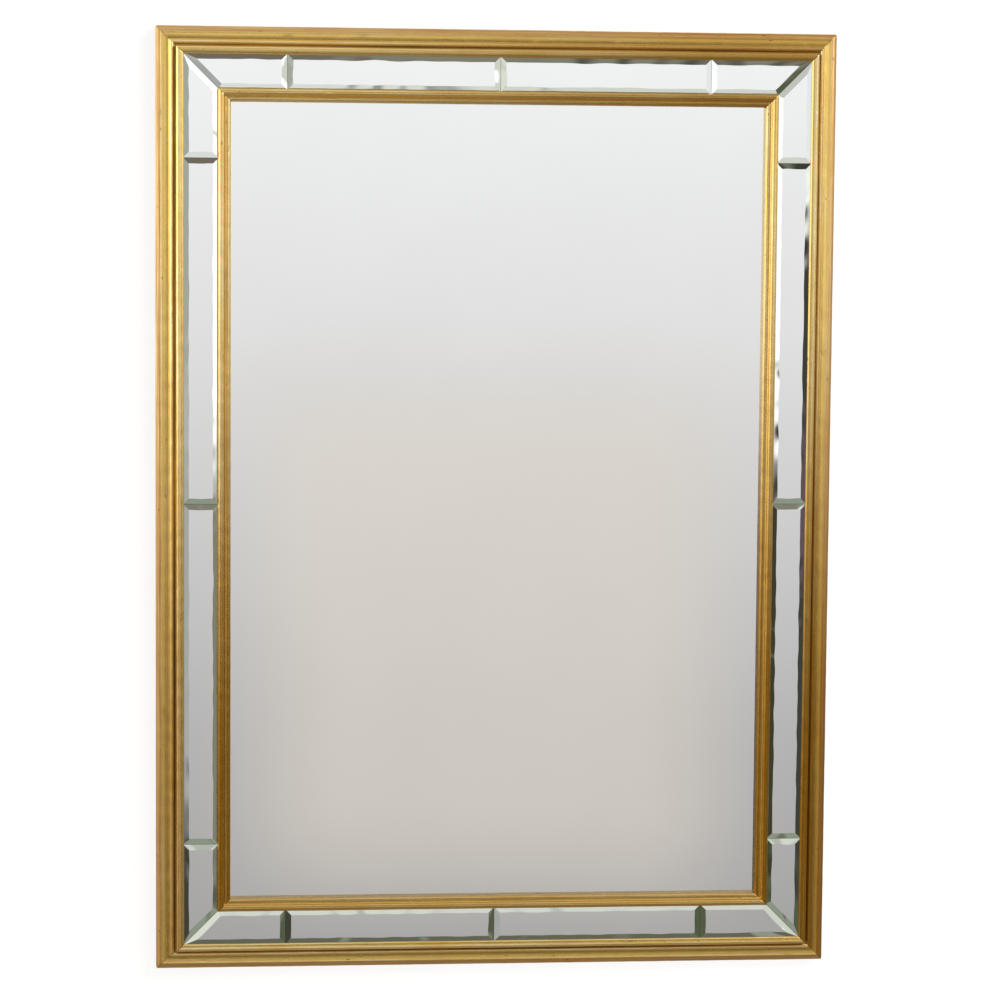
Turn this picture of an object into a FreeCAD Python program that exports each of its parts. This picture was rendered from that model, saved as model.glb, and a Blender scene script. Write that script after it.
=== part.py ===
import FreeCAD, Part
import math
import os

# A wall mirror with a gilt fall-away frame, a border of sixteen bevelled mirror strips,
# a gilt inner moulding and a large plain mirror in the middle.
# Lengths are in millimetres. X runs to the viewer's right, Z up and Y towards the wall.
# The origin is the middle of the mirror, on the wall plane that the bumpers touch.

# Overall size
frame_width = 813.0
frame_height = 1126.5

# Layers, from the rails' back face forwards
recess_depth = 14.0
board_thick = 6.0
packing_thick = 5.0
glass_thick = 5.0

# Outer rail: its front steps down from the sight edge to a thin outer edge
edge_height = 6.0
outer_round_width = 6.4
outer_round_rise = 6.2
outer_round_swell = 1.5
quirk_rise = 0.8
quirk_width = 0.4
scoop_width = 9.4
scoop_rise = 0.6
scoop_sag = 0.5
crest_width = 6.2
crest_shoulder_in = 0.7
crest_shoulder_rise = 4.8
crest_top_in = 2.8
crest_top_rise = 7.0
crest_side_in = 4.8
crest_side_rise = 6.5
crest_end_rise = 5.1
groove_width = 2.0
groove_fall = 0.7
groove_floor = 1.4
bead_width = 9.5
bead_wall_in = 0.3
bead_wall_rise = 9.4
bead_shoulder_in = 1.0
bead_shoulder_rise = 12.1
bead_top_in = 3.0
bead_top_rise = 13.6
bead_brow_in = 4.8
bead_brow_rise = 13.5
bead_turn_in = 6.6
bead_turn_rise = 13.1
bead_lip_in = 8.4
bead_lip_rise = 12.4
bead_end_rise = 11.5
board_ledge = 6.9

# Sight lips over the bevelled edges of the strips
lip_cover = 1.2
lip_gap = 0.3

# Mirror strips
strip_show = 39.8
strip_clear = 0.3
strip_joint = 0.4
bevel_width = 6.6
bevel_drop = 1.2
corner_reach = 155.0

# Inner moulding: a bead beside the strips, a hollow, then a quarter round falling to the centre mirror
inner_bead_width = 7.8
inner_bead_side = 1.3
inner_bead_top_in = 3.9
inner_bead_top = 6.2
inner_bead_end = 4.2
hollow_width = 3.4
hollow_end = 2.3
hollow_sag = 0.7
inner_step = 0.9
inner_round_width = 4.0
inner_round_middle_in = 2.4
inner_round_middle = 2.6
inner_round_end = 0.8
centre_cover = 5.2
centre_clear = 0.3

# Backing board, the packing that lifts the strips off it, and the flat points that hold it in the frame
board_clear = 0.3
packing_clear = 0.4
point_thick = 0.8
point_width = 8.0
point_show = 8.0
point_bury = 4.0
point_tip = 2.0
point_spacing = 225.0
point_end_inset = 120.0

# Countersunk screws from the board into the inner moulding
inner_screw_radius = 1.5
inner_screw_head_radius = 2.9
inner_screw_head_height = 1.6
inner_screw_length = 14.0
inner_screw_tip = 2.0
inner_screw_spacing = 230.0
inner_screw_end_inset = 30.0
pilot_clear = 0.05
hole_clear = 0.2
cross_length = 3.2
cross_width = 0.8
cross_depth = 1.0

# V nails across the mitres
v_nail_thick = 0.6
v_nail_leg = 6.0
v_nail_height = 8.0
v_nail_first = 8.0
v_nail_second = 18.5
inner_v_nail_leg = 3.0
inner_v_nail_height = 5.0
inner_v_nail_in = 3.4

# Hangers: a strap with a curl that carries a D ring, on each side rail
hanger_drop = 280.0
hanger_inset = 17.0
strap_thick = 1.2
strap_width = 14.0
strap_hole_apart = 14.0
strap_foot = 8.0
ring_wire = 2.4
ring_fit = 0.05
ring_lift = 0.3
ring_half_width = 10.8
ring_leg = 5.0
ring_corner = 2.4
ring_screw_gap = 1.4
hanger_screw_radius = 1.7
hanger_screw_head_radius = 3.2
hanger_screw_head_height = 2.2
hanger_screw_head_round = 0.8
hanger_screw_length = 12.0
hanger_screw_tip = 2.5

# Bumpers between the frame and the wall
bumper_thick = 6.0
bumper_radius = 7.0
bumper_round = 1.0
bumper_inset = 13.5
bumper_from_end = 45.0

# How far a cutting solid runs past what it cuts
overrun = 5.0

# Heights above the rails' back face
board_front = recess_depth + board_thick
centre_front = board_front + glass_thick
strip_back = board_front + packing_thick
strip_front = strip_back + glass_thick
lip_under = strip_front - bevel_drop + lip_gap
scoop_start = edge_height + outer_round_rise + quirk_rise
scoop_end = scoop_start + scoop_rise
groove_start = scoop_end + crest_end_rise
groove_end = groove_start - groove_fall

# Distances in from the frame's outer edge
scoop_start_in = outer_round_width + quirk_width
scoop_end_in = scoop_start_in + scoop_width
groove_start_in = scoop_end_in + crest_width
groove_end_in = groove_start_in + groove_width
sight_in = groove_end_in + bead_width
strip_wall_in = sight_in - lip_cover
board_wall_in = sight_in - board_ledge
strip_outer_in = strip_wall_in + strip_clear
inner_rail_in = sight_in + strip_show
foot_outer_in = inner_rail_in + lip_cover
strip_inner_in = foot_outer_in - strip_clear
inner_rail_width = inner_bead_width + hollow_width + inner_round_width
centre_sight_in = inner_rail_in + inner_rail_width
foot_inner_in = centre_sight_in - centre_cover
foot_middle_in = (foot_outer_in + foot_inner_in) / 2
centre_edge_in = foot_inner_in + centre_clear

# Distances down from a hanger's hinge line
ring_reach = ring_corner + ring_leg + ring_half_width + ring_wire / 2
strap_hole_first = ring_reach + ring_screw_gap + hanger_screw_head_radius
strap_hole_second = strap_hole_first + strap_hole_apart
strap_length = strap_hole_second + strap_foot

# The sides in order: each is a quarter turn about Y on from the one before
SIDES = ("bottom", "left", "top", "right")

# What the four strips of a side are called, in the order of the side's own length
STRIP_NAMES = {
    "bottom": ("left_corner", "left", "right", "right_corner"),
    "left": ("upper_corner", "upper", "lower", "lower_corner"),
    "top": ("right_corner", "right", "left", "left_corner"),
    "right": ("lower_corner", "lower", "upper", "upper_corner"),
}

FORWARD = FreeCAD.Vector(0, -1, 0)
ALONG = FreeCAD.Vector(1, 0, 0)
TURN_AXIS = FreeCAD.Vector(0, 1, 0)
ORIGIN = FreeCAD.Vector(0, 0, 0)


def per_side(side, across, up):
    """One of two values: the first for the top and bottom sides, the second for the upright ones."""
    return across if side in ("top", "bottom") else up


def half_length(side):
    """Half of a side's length."""
    return per_side(side, frame_width, frame_height) / 2


def at(along, inward, height):
    """A point of a side: along its length, in from the outer edge, above the rails' back face."""
    return FreeCAD.Vector(along, -(bumper_thick + height), inward)


def place(shape, side):
    """Moves a solid from the side's own place, at the origin, to its place in the frame."""
    half_across = per_side(side, frame_height, frame_width) / 2
    moved = shape.copy()
    moved.translate(FreeCAD.Vector(0, 0, -half_across))
    moved.rotate(ORIGIN, TURN_AXIS, 90 * SIDES.index(side))
    return moved


def outline(start, steps):
    """A closed face: each step is an end point for a line, or a middle and an end point for an arc."""
    edges = []
    here = start
    for step in steps:
        if len(step) == 1:
            edges.append(Part.makeLine(here, step[0]))
        else:
            edges.append(Part.Arc(here, step[0], step[1]).toShape())
        here = step[-1]
    edges.append(Part.makeLine(here, start))
    return Part.Face(Part.Wire(edges))


def polygon(points):
    """A flat face with straight sides."""
    return Part.Face(Part.makePolygon(list(points) + [points[0]]))


def turned(points):
    """A round solid about Y: each point is its radius and its distance forwards."""
    face = polygon([FreeCAD.Vector(radius, -forward, 0) for radius, forward in points])
    return face.revolve(ORIGIN, TURN_AXIS, 360)


def spread(spacing, reach):
    """Evenly spaced places from -reach to reach, no further apart than the spacing."""
    gaps = math.ceil(2 * reach / spacing)
    return [2 * reach * step / gaps - reach for step in range(gaps + 1)]


def mitred(face, half, outer_in, inner_in, low, high):
    """A moulding of a side, with both ends cut at 45 degrees."""
    bar = face.extrude(ALONG * (2 * half))
    corners = [
        at(outer_in - half, outer_in, low),
        at(half - outer_in, outer_in, low),
        at(half - inner_in, inner_in, low),
        at(inner_in - half, inner_in, low),
    ]
    return bar.common(polygon(corners).extrude(FORWARD * (high - low)))


def v_nail(corner, leg, height, low):
    """A V nail at a place on the mitre of the side's left end, one leg in each rail."""
    reach = leg + v_nail_thick
    half = v_nail_thick / 2
    along, inward = corner
    points = [
        (along - half, inward - half),
        (along - half + reach, inward - half),
        (along - half + reach, inward + half),
        (along + half, inward + half),
        (along + half, inward - half + reach),
        (along - half, inward - half + reach),
    ]
    return polygon([at(s, u, low) for s, u in points]).extrude(FORWARD * height)


def outer_v_nails(side):
    """The V nails in the outer frame's mitre at the left end of a side, before it is placed."""
    half = half_length(side)
    return [v_nail((u - half, u), v_nail_leg, v_nail_height, 0) for u in (v_nail_first, v_nail_second)]


def inner_v_nails(side):
    """The V nail in the inner moulding's mitre at the left end of a side, before it is placed."""
    u = foot_outer_in + inner_v_nail_in
    return [v_nail((u - half_length(side), u), inner_v_nail_leg, inner_v_nail_height, board_front)]


def all_placed(make):
    """Every side's solids from one maker, at their places in the frame."""
    return [place(solid, side) for side in SIDES for solid in make(side)]


def retaining_points(side):
    """The flat points of a side, driven into the rail's inner wall behind the board."""
    low = recess_depth - point_thick
    tip_in = board_wall_in - point_bury - point_tip
    made = []
    for s in spread(point_spacing, half_length(side) - point_end_inset):
        points = [
            at(s - point_width / 2, board_wall_in + point_show, low),
            at(s - point_width / 2, board_wall_in - point_bury, low),
            at(s, tip_in, low),
            at(s + point_width / 2, board_wall_in - point_bury, low),
            at(s + point_width / 2, board_wall_in + point_show, low),
        ]
        made.append(polygon(points).extrude(FORWARD * point_thick))
    return made


def inner_screw_places(side):
    """Where the screws of a side pass through the board into the inner moulding."""
    reach = half_length(side) - foot_middle_in - inner_screw_end_inset
    return [at(s, foot_middle_in, recess_depth) for s in spread(inner_screw_spacing, reach)]


def cross_recess():
    """The cross in a screw's head, from behind it to its depth."""
    arms = []
    for wide, tall in ((cross_length, cross_width), (cross_width, cross_length)):
        corner = FreeCAD.Vector(-wide / 2, -cross_depth, -tall / 2)
        arms.append(Part.makeBox(wide, cross_depth + overrun, tall, corner))
    return arms[0].fuse(arms[1])


def inner_rail_screws(side):
    """The countersunk screws of a side."""
    screw = turned(
        [
            (0, 0),
            (inner_screw_head_radius, 0),
            (inner_screw_radius, inner_screw_head_height),
            (inner_screw_radius, inner_screw_length - inner_screw_tip),
            (0, inner_screw_length),
        ]
    ).cut(cross_recess())
    return [screw.translated(spot) for spot in inner_screw_places(side)]


def inner_screw_holes(side):
    """The countersunk holes of a side, right through the board."""
    wide = inner_screw_radius + hole_clear
    hole = turned(
        [
            (0, -overrun),
            (inner_screw_head_radius + hole_clear, -overrun),
            (inner_screw_head_radius + hole_clear, 0),
            (wide, inner_screw_head_height),
            (wide, board_thick + overrun),
            (0, board_thick + overrun),
        ]
    )
    return [hole.translated(spot) for spot in inner_screw_places(side)]


def inner_pilot_holes(side):
    """The pilot holes of a side, up into the inner moulding's foot."""
    radius = inner_screw_radius + pilot_clear
    deep = inner_screw_length + pilot_clear
    return [Part.makeCylinder(radius, deep, spot, FORWARD) for spot in inner_screw_places(side)]


def outer_rail(side):
    """A gilt outer rail, stepped at the back for the board and the strips."""
    half = half_length(side)
    end = -half
    round_middle = at(
        end,
        outer_round_width / 2 - outer_round_swell / math.sqrt(2),
        edge_height + outer_round_rise / 2 + outer_round_swell / math.sqrt(2),
    )
    round_end = at(end, outer_round_width, edge_height + outer_round_rise)
    scoop_first = at(end, scoop_start_in, scoop_start)
    scoop_middle = at(end, (scoop_start_in + scoop_end_in) / 2, (scoop_start + scoop_end) / 2 - scoop_sag)
    scoop_last = at(end, scoop_end_in, scoop_end)
    crest_shoulder = at(end, scoop_end_in + crest_shoulder_in, scoop_end + crest_shoulder_rise)
    crest_top = at(end, scoop_end_in + crest_top_in, scoop_end + crest_top_rise)
    crest_side = at(end, scoop_end_in + crest_side_in, scoop_end + crest_side_rise)
    crest_last = at(end, groove_start_in, groove_start)
    groove_first = at(end, groove_end_in - groove_floor, groove_end)
    groove_last = at(end, groove_end_in, groove_end)
    bead_wall = at(end, groove_end_in + bead_wall_in, groove_end + bead_wall_rise)
    bead_shoulder = at(end, groove_end_in + bead_shoulder_in, groove_end + bead_shoulder_rise)
    bead_top = at(end, groove_end_in + bead_top_in, groove_end + bead_top_rise)
    bead_brow = at(end, groove_end_in + bead_brow_in, groove_end + bead_brow_rise)
    bead_turn = at(end, groove_end_in + bead_turn_in, groove_end + bead_turn_rise)
    bead_lip = at(end, groove_end_in + bead_lip_in, groove_end + bead_lip_rise)
    bead_last = at(end, sight_in, groove_end + bead_end_rise)
    face = outline(
        at(end, 0, 0),
        [
            (at(end, 0, edge_height),),
            (round_middle, round_end),
            (scoop_first,),
            (scoop_middle, scoop_last),
            (crest_shoulder, crest_top),
            (crest_side, crest_last),
            (groove_first,),
            (groove_last,),
            (bead_wall,),
            (bead_shoulder, bead_top),
            (bead_brow, bead_turn),
            (bead_lip, bead_last),
            (at(end, sight_in, lip_under),),
            (at(end, strip_wall_in, lip_under),),
            (at(end, strip_wall_in, board_front),),
            (at(end, board_wall_in, board_front),),
            (at(end, board_wall_in, 0),),
        ],
    )
    top = groove_end + bead_top_rise + overrun
    rail = place(mitred(face, half, 0, sight_in, 0, top), side)
    cuts = all_placed(outer_v_nails) + [place(p, side) for p in retaining_points(side)]
    if side in ("left", "right"):
        cuts += hanger_pilot_holes(side)
    return rail.cut(cuts)


def inner_rail(side):
    """A gilt rail of the inner moulding, screwed to the board, over the strips and the centre mirror."""
    half = half_length(side)
    end = -half
    hollow_in = inner_rail_in + inner_bead_width
    round_in = hollow_in + hollow_width
    bead_top = at(end, inner_rail_in + inner_bead_top_in, strip_front + inner_bead_top)
    bead_last = at(end, hollow_in, strip_front + inner_bead_end)
    hollow_height = strip_front + (inner_bead_end + hollow_end) / 2
    slope = math.atan2(inner_bead_end - hollow_end, hollow_width)
    hollow_middle = at(
        end,
        hollow_in + hollow_width / 2 - hollow_sag * math.sin(slope),
        hollow_height - hollow_sag * math.cos(slope),
    )
    hollow_last = at(end, round_in, strip_front + hollow_end)
    round_first = at(end, round_in, strip_front + hollow_end + inner_step)
    round_middle = at(end, round_in + inner_round_middle_in, strip_front + inner_round_middle)
    round_last = at(end, centre_sight_in, strip_front + inner_round_end)
    face = outline(
        at(end, inner_rail_in, lip_under),
        [
            (at(end, inner_rail_in, strip_front + inner_bead_side),),
            (bead_top, bead_last),
            (hollow_middle, hollow_last),
            (round_first,),
            (round_middle, round_last),
            (at(end, centre_sight_in, centre_front),),
            (at(end, foot_inner_in, centre_front),),
            (at(end, foot_inner_in, board_front),),
            (at(end, foot_outer_in, board_front),),
            (at(end, foot_outer_in, lip_under),),
        ],
    )
    top = strip_front + inner_bead_top + overrun
    rail = place(mitred(face, half, inner_rail_in, centre_sight_in, board_front, top), side)
    return rail.cut(all_placed(inner_v_nails) + [place(p, side) for p in inner_pilot_holes(side)])


def inset(corners, distance):
    """The corners of a convex outline, given anticlockwise, after its sides move in by a distance."""
    moved = []
    for index, here in enumerate(corners):
        before = corners[index - 1]
        after = corners[(index + 1) % len(corners)]
        first = (here - before).normalize()
        second = (after - here).normalize()
        across = first.x * second.y - first.y * second.x
        moved.append(here + (second - first) * (distance / across))
    return moved


def strip(side, first, last, mitre_first, mitre_last):
    """A mirror strip between two places along a side, bevelled all round; an end may be mitred."""
    half = half_length(side)
    mitre_gap = strip_joint / math.sqrt(2)

    def end(place_along, is_mitre, sign, inward):
        return sign * (half - inward - mitre_gap) if is_mitre else place_along - sign * strip_joint / 2

    corners = [
        FreeCAD.Vector(end(first, mitre_first, -1, strip_outer_in), strip_outer_in, 0),
        FreeCAD.Vector(end(last, mitre_last, 1, strip_outer_in), strip_outer_in, 0),
        FreeCAD.Vector(end(last, mitre_last, 1, strip_inner_in), strip_inner_in, 0),
        FreeCAD.Vector(end(first, mitre_first, -1, strip_inner_in), strip_inner_in, 0),
    ]
    flat = inset(corners, bevel_width)
    edge_top = strip_front - bevel_drop
    slab = polygon([at(p.x, p.y, strip_back) for p in corners]).extrude(FORWARD * (edge_top - strip_back))
    foot = polygon([at(p.x, p.y, edge_top) for p in corners]).OuterWire
    crown = polygon([at(p.x, p.y, strip_front) for p in flat]).OuterWire
    return place(slab.fuse(Part.makeLoft([foot, crown], True, True)).removeSplitter(), side)


def strips(side):
    """The four strips of a side: two mitred corner pieces and two straight ones."""
    half = half_length(side)
    joints = [-half, corner_reach - half, 0, half - corner_reach, half]
    made = {}
    for index, name in enumerate(STRIP_NAMES[side]):
        piece = strip(side, joints[index], joints[index + 1], index == 0, index == len(joints) - 2)
        made[f"strip_{side}_{name}"] = piece
    return made


def packing(side):
    """The packing under the strips of a side, between the two rails, mitred at both ends."""
    half = half_length(side)
    outer_in = strip_wall_in + packing_clear
    inner_in = foot_outer_in - packing_clear
    corners = [
        at(outer_in - half, outer_in, board_front),
        at(half - outer_in, outer_in, board_front),
        at(half - inner_in, inner_in, board_front),
        at(inner_in - half, inner_in, board_front),
    ]
    return place(polygon(corners).extrude(FORWARD * packing_thick), side)


def plate(edge_in, low, thick):
    """A flat rectangle whose edges lie a distance in from the frame's outer edges."""
    wide = frame_width - 2 * edge_in
    tall = frame_height - 2 * edge_in
    return Part.makeBox(wide, thick, tall, FreeCAD.Vector(-wide / 2, at(0, 0, low + thick).y, -tall / 2))


def centre_mirror():
    """The large plain mirror, under the inner moulding's lips."""
    return plate(centre_edge_in, board_front, glass_thick)


def backing_board():
    """The plywood board that carries the glass, with its screw holes."""
    return plate(board_wall_in + board_clear, recess_depth, board_thick).cut(all_placed(inner_screw_holes))


def hanger_spot(side):
    """Where the hinge line of a side rail's hanger crosses the strap's middle."""
    across = frame_width / 2 - hanger_inset
    lift = strap_thick + ring_lift + ring_wire / 2
    x = across if side == "right" else -across
    return FreeCAD.Vector(x, lift - bumper_thick, frame_height / 2 - hanger_drop)


def hanger_screw_spots(side):
    """Where a hanger's screws meet the strap's rear face."""
    spot = hanger_spot(side)
    rear = strap_thick - bumper_thick
    return [FreeCAD.Vector(spot.x, rear, spot.z - drop) for drop in (strap_hole_first, strap_hole_second)]


def hanger_pilot_holes(side):
    """The pilot holes for a hanger's screws."""
    deep = hanger_screw_length + pilot_clear
    radius = hanger_screw_radius + pilot_clear
    return [Part.makeCylinder(radius, deep, spot, FORWARD) for spot in hanger_screw_spots(side)]


def hanger_strap(side):
    """A steel strap, round at its foot, with a curl at its head for the ring."""
    spot = hanger_spot(side)
    half = strap_width / 2
    back = -bumper_thick
    shoulder = spot.z - strap_length + half
    face = outline(
        FreeCAD.Vector(spot.x - half, back, spot.z),
        [
            (FreeCAD.Vector(spot.x - half, back, shoulder),),
            (FreeCAD.Vector(spot.x, back, shoulder - half), FreeCAD.Vector(spot.x + half, back, shoulder)),
            (FreeCAD.Vector(spot.x + half, back, spot.z),),
        ],
    )
    bore_radius = ring_wire / 2 + ring_fit
    start = spot - ALONG * half
    curl = Part.makeCylinder(bore_radius + strap_thick, strap_width, start, ALONG)
    body = face.extrude(-FORWARD * strap_thick).fuse(curl)
    cuts = [Part.makeCylinder(bore_radius, strap_width, start, ALONG)]
    for screw_spot in hanger_screw_spots(side):
        from_behind = screw_spot - FORWARD * overrun
        radius = hanger_screw_radius + hole_clear
        cuts.append(Part.makeCylinder(radius, strap_thick + 2 * overrun, from_behind, FORWARD))
    return body.cut(cuts)


def bend(centre, arm, axis, angle, radius):
    """A round wire's bend: a circle at the end of an arm, swept about a centre."""
    circle = Part.Wire(Part.makeCircle(radius, centre + arm, axis.cross(arm)))
    return Part.Face(circle).revolve(centre, axis, angle)


def hanger_ring(side):
    """A D ring of round wire, hanging straight down from its bar in the strap's curl."""
    spot = hanger_spot(side)
    radius = ring_wire / 2
    straight = ring_half_width - ring_corner
    down = FreeCAD.Vector(0, 0, -1)
    parts = [Part.makeCylinder(radius, 2 * straight, spot - ALONG * straight, ALONG)]
    for sign in (-1, 1):
        elbow = spot + ALONG * (sign * straight) + down * ring_corner
        parts.append(bend(elbow, -down * ring_corner, TURN_AXIS * sign, 90, radius))
        leg = elbow + ALONG * (sign * ring_corner)
        parts.append(Part.makeCylinder(radius, ring_leg, leg, down))
    bow = spot + down * (ring_corner + ring_leg)
    parts.append(bend(bow, ALONG * ring_half_width, TURN_AXIS, 180, radius))
    return parts[0].fuse(parts[1:]).removeSplitter()


def hanger_screws():
    """The pan-head screws of both hangers."""
    rise = hanger_screw_head_height
    screw = turned(
        [
            (0, -rise),
            (hanger_screw_head_radius - hanger_screw_head_round, -rise),
            (hanger_screw_head_radius, hanger_screw_head_round - rise),
            (hanger_screw_head_radius, 0),
            (hanger_screw_radius, 0),
            (hanger_screw_radius, hanger_screw_length - hanger_screw_tip),
            (0, hanger_screw_length),
        ]
    ).cut(cross_recess().translated(-FORWARD * rise))
    return [screw.translated(spot) for side in ("left", "right") for spot in hanger_screw_spots(side)]


def wall_bumpers():
    """Four rubber bumpers on the side rails' back faces."""
    bumper = turned(
        [
            (0, 0),
            (bumper_radius - bumper_round, 0),
            (bumper_radius, bumper_round),
            (bumper_radius, bumper_thick),
            (0, bumper_thick),
        ]
    )
    across = frame_width / 2 - bumper_inset
    up = frame_height / 2 - bumper_from_end
    return [bumper.translated(FreeCAD.Vector(x, 0, z)) for x in (-across, across) for z in (-up, up)]


def build():
    """Every piece of the mirror by its name."""
    nodes = {}
    for side in SIDES:
        nodes[f"outer_rail_{side}"] = outer_rail(side)
        nodes[f"inner_rail_{side}"] = inner_rail(side)
        nodes[f"packing_{side}"] = packing(side)
        nodes.update(strips(side))
    nodes["centre_mirror"] = centre_mirror()
    nodes["backing_board"] = backing_board()
    nodes["retaining_points"] = Part.makeCompound(all_placed(retaining_points))
    nodes["inner_rail_screws"] = Part.makeCompound(all_placed(inner_rail_screws))
    nodes["outer_v_nails"] = Part.makeCompound(all_placed(outer_v_nails))
    nodes["inner_v_nails"] = Part.makeCompound(all_placed(inner_v_nails))
    for side in ("left", "right"):
        nodes[f"{side}_hanger_strap"] = hanger_strap(side)
        nodes[f"{side}_hanger_ring"] = hanger_ring(side)
    nodes["hanger_screws"] = Part.makeCompound(hanger_screws())
    nodes["wall_bumpers"] = Part.makeCompound(wall_bumpers())
    return nodes


os.makedirs("parts", exist_ok=True)
for node, shape in build().items():
    state = "valid" if shape.isValid() else "not valid"
    print(node, len(shape.Solids), "solids", round(shape.Volume), "mm3", state)
    shape.exportStep(f"parts/{node}.step")
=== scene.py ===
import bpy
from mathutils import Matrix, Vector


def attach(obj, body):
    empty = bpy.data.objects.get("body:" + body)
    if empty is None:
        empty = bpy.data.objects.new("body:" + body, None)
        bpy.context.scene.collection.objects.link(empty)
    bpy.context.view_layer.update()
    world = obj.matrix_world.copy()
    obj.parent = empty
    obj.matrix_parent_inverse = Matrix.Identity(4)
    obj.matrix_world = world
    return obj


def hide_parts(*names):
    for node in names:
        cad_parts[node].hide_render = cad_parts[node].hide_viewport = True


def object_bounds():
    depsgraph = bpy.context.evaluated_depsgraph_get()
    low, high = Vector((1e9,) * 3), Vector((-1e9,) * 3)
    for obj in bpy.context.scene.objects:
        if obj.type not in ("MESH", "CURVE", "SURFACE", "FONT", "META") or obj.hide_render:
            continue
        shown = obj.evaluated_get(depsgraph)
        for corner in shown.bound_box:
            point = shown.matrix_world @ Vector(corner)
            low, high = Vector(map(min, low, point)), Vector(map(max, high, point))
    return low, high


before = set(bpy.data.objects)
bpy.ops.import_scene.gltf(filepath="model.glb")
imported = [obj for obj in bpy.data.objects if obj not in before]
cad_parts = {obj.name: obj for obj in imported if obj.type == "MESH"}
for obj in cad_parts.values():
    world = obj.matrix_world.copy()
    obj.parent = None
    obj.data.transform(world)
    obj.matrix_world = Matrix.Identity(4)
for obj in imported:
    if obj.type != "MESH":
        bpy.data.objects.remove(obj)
cad_box = [list(corner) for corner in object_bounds()]

import math

import bmesh
import bpy
import numpy as np
from bpy.props import FloatProperty, FloatVectorProperty, PointerProperty
from mathutils import Matrix, Vector

bl_info = {
    "name": "Bevelled border mirror",
    "version": (1, 0, 0),
    "blender": (4, 5, 0),
    "location": "3D View > Sidebar > Mirror",
    "description": "A gilt wall mirror with a border of bevelled mirror strips",
    "category": "Object",
}

MM = 0.001
SIDES = ("bottom", "left", "top", "right")
# What the two halves of a side are called, in the order that its strips follow
HALVES = {
    "bottom": ("left", "right"),
    "left": ("upper", "lower"),
    "top": ("right", "left"),
    "right": ("lower", "upper"),
}
MOULDING_MAP = "moulding"
# Painted shade: how much each side's gilding is darkened and browned at its first and its last end, the low
# and right parts most
SHADE_ENDS = {"bottom": (0.12, 0.28), "left": (0.0, 0.5), "top": (0.7, 0.06), "right": (1.0, 0.05)}
INNER_SHADE_ENDS = {"bottom": (0.55, 0.55), "left": (0.08, 0.95), "top": (0.7, 0.06), "right": (1.0, 0.2)}
# The band of each moulding that is dark with wax and with painted shade: from and to in distance from the
# frame's edge, and how much
OUTER_WAX_SHADE_BAND = (21.1 * MM, 24.9 * MM, 0.8)
INNER_WAX_SHADE_BAND = (82.4 * MM, 85.2 * MM, 0.62)
# Distance between an outline's points, and the radius that its corners are softened with
OUTLINE_STEP = 0.42 * MM
OUTLINE_SOFTNESS = 0.24 * MM
# Near a mitre, a rail's points keep their distance from it, and its dents and unevenness fade out
MITRE_ZONE = 5 * MM
MITRE_FADE = 12 * MM
# The fine groove at a mitre: its reach to each side, and its depth
MITRE_GROOVE = (0.5 * MM, 0.1 * MM)
# Radius of the bends that get the full burnish and painted highlight, or the full dark wax and painted shade,
# height above the mean level that gets the full burnish and painted highlight, and the reach of the dirt and
# painted shade at an outline's ends
BURNISH_HIGHLIGHT_BEND = 1.1 * MM
WAX_AND_SHADE_BEND = 0.8 * MM
BURNISH_HIGHLIGHT_STAND = 2.2 * MM
GRIME_AND_SHADE_REACH = 1.2 * MM
# Waves of unevenness: how many, their greatest and smallest length, and how far they lean across
RAIL_WAVES = (9, 160 * MM, 18 * MM, 30 * MM)
BEVEL_WAVES = (5, 150 * MM, 28 * MM, 1.0)
EDGE_WAVES = (4, 260 * MM, 60 * MM, 1.0)
# Mean distance of a rail's and of a strip's points along it
RAIL_STEP = 3 * MM
STRIP_STEP = 2.2 * MM
WHITE = (1, 1, 1)
METRES = {"min": 0, "precision": 5, "unit": "LENGTH"}


def settings(group):
    """A group of the scene's settings by name."""
    return getattr(bpy.context.scene, "mirror_" + group)


def length(name, millimetres, description):
    """A size in metres, its default given in millimetres."""
    return FloatProperty(name=name, description=description, default=millimetres * MM, **METRES)


def spot(name, inward, rise, description):
    """A place on an outline, inwards and up from where its member starts, its default in millimetres."""
    place = (inward * MM, rise * MM)
    return FloatVectorProperty(name=name, description=description, default=place, size=2, **METRES)


def tint(name, colour, description):
    """A colour."""
    kind = {"size": 3, "min": 0, "max": 1, "subtype": "COLOR"}
    return FloatVectorProperty(name=name, description=description, default=colour, **kind)


def amount(name, default, description, unit="NONE"):
    """A plain number that isn't below zero."""
    return FloatProperty(name=name, description=description, default=default, min=0, unit=unit)


class MirrorSizes(bpy.types.PropertyGroup):
    """Sizes that the whole mirror shares."""

    bumper: length("Bumper thickness", 6.0, "Room between the rails and the wall")
    board_front: length("Board front", 20.0, "Height of the board's front above the rails' back")
    packing: length("Packing", 5.0, "Thickness of the packing under the strips")
    glass: length("Glass thickness", 5.0, "Thickness of every mirror")
    sight: length("Border sight", 33.9, "From the outer edge to the sight edge")
    border: length("Border width", 39.8, "Width of the border that shows")
    lip_cover: length("Lip cover", 1.2, "How far a moulding's lip covers the strips' edges")
    lip_gap: length("Lip gap", 0.3, "Room between a lip and the strips' bevels")
    bevel_drop: length("Bevel drop", 1.2, "How much thinner a strip is at its edge")


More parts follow.
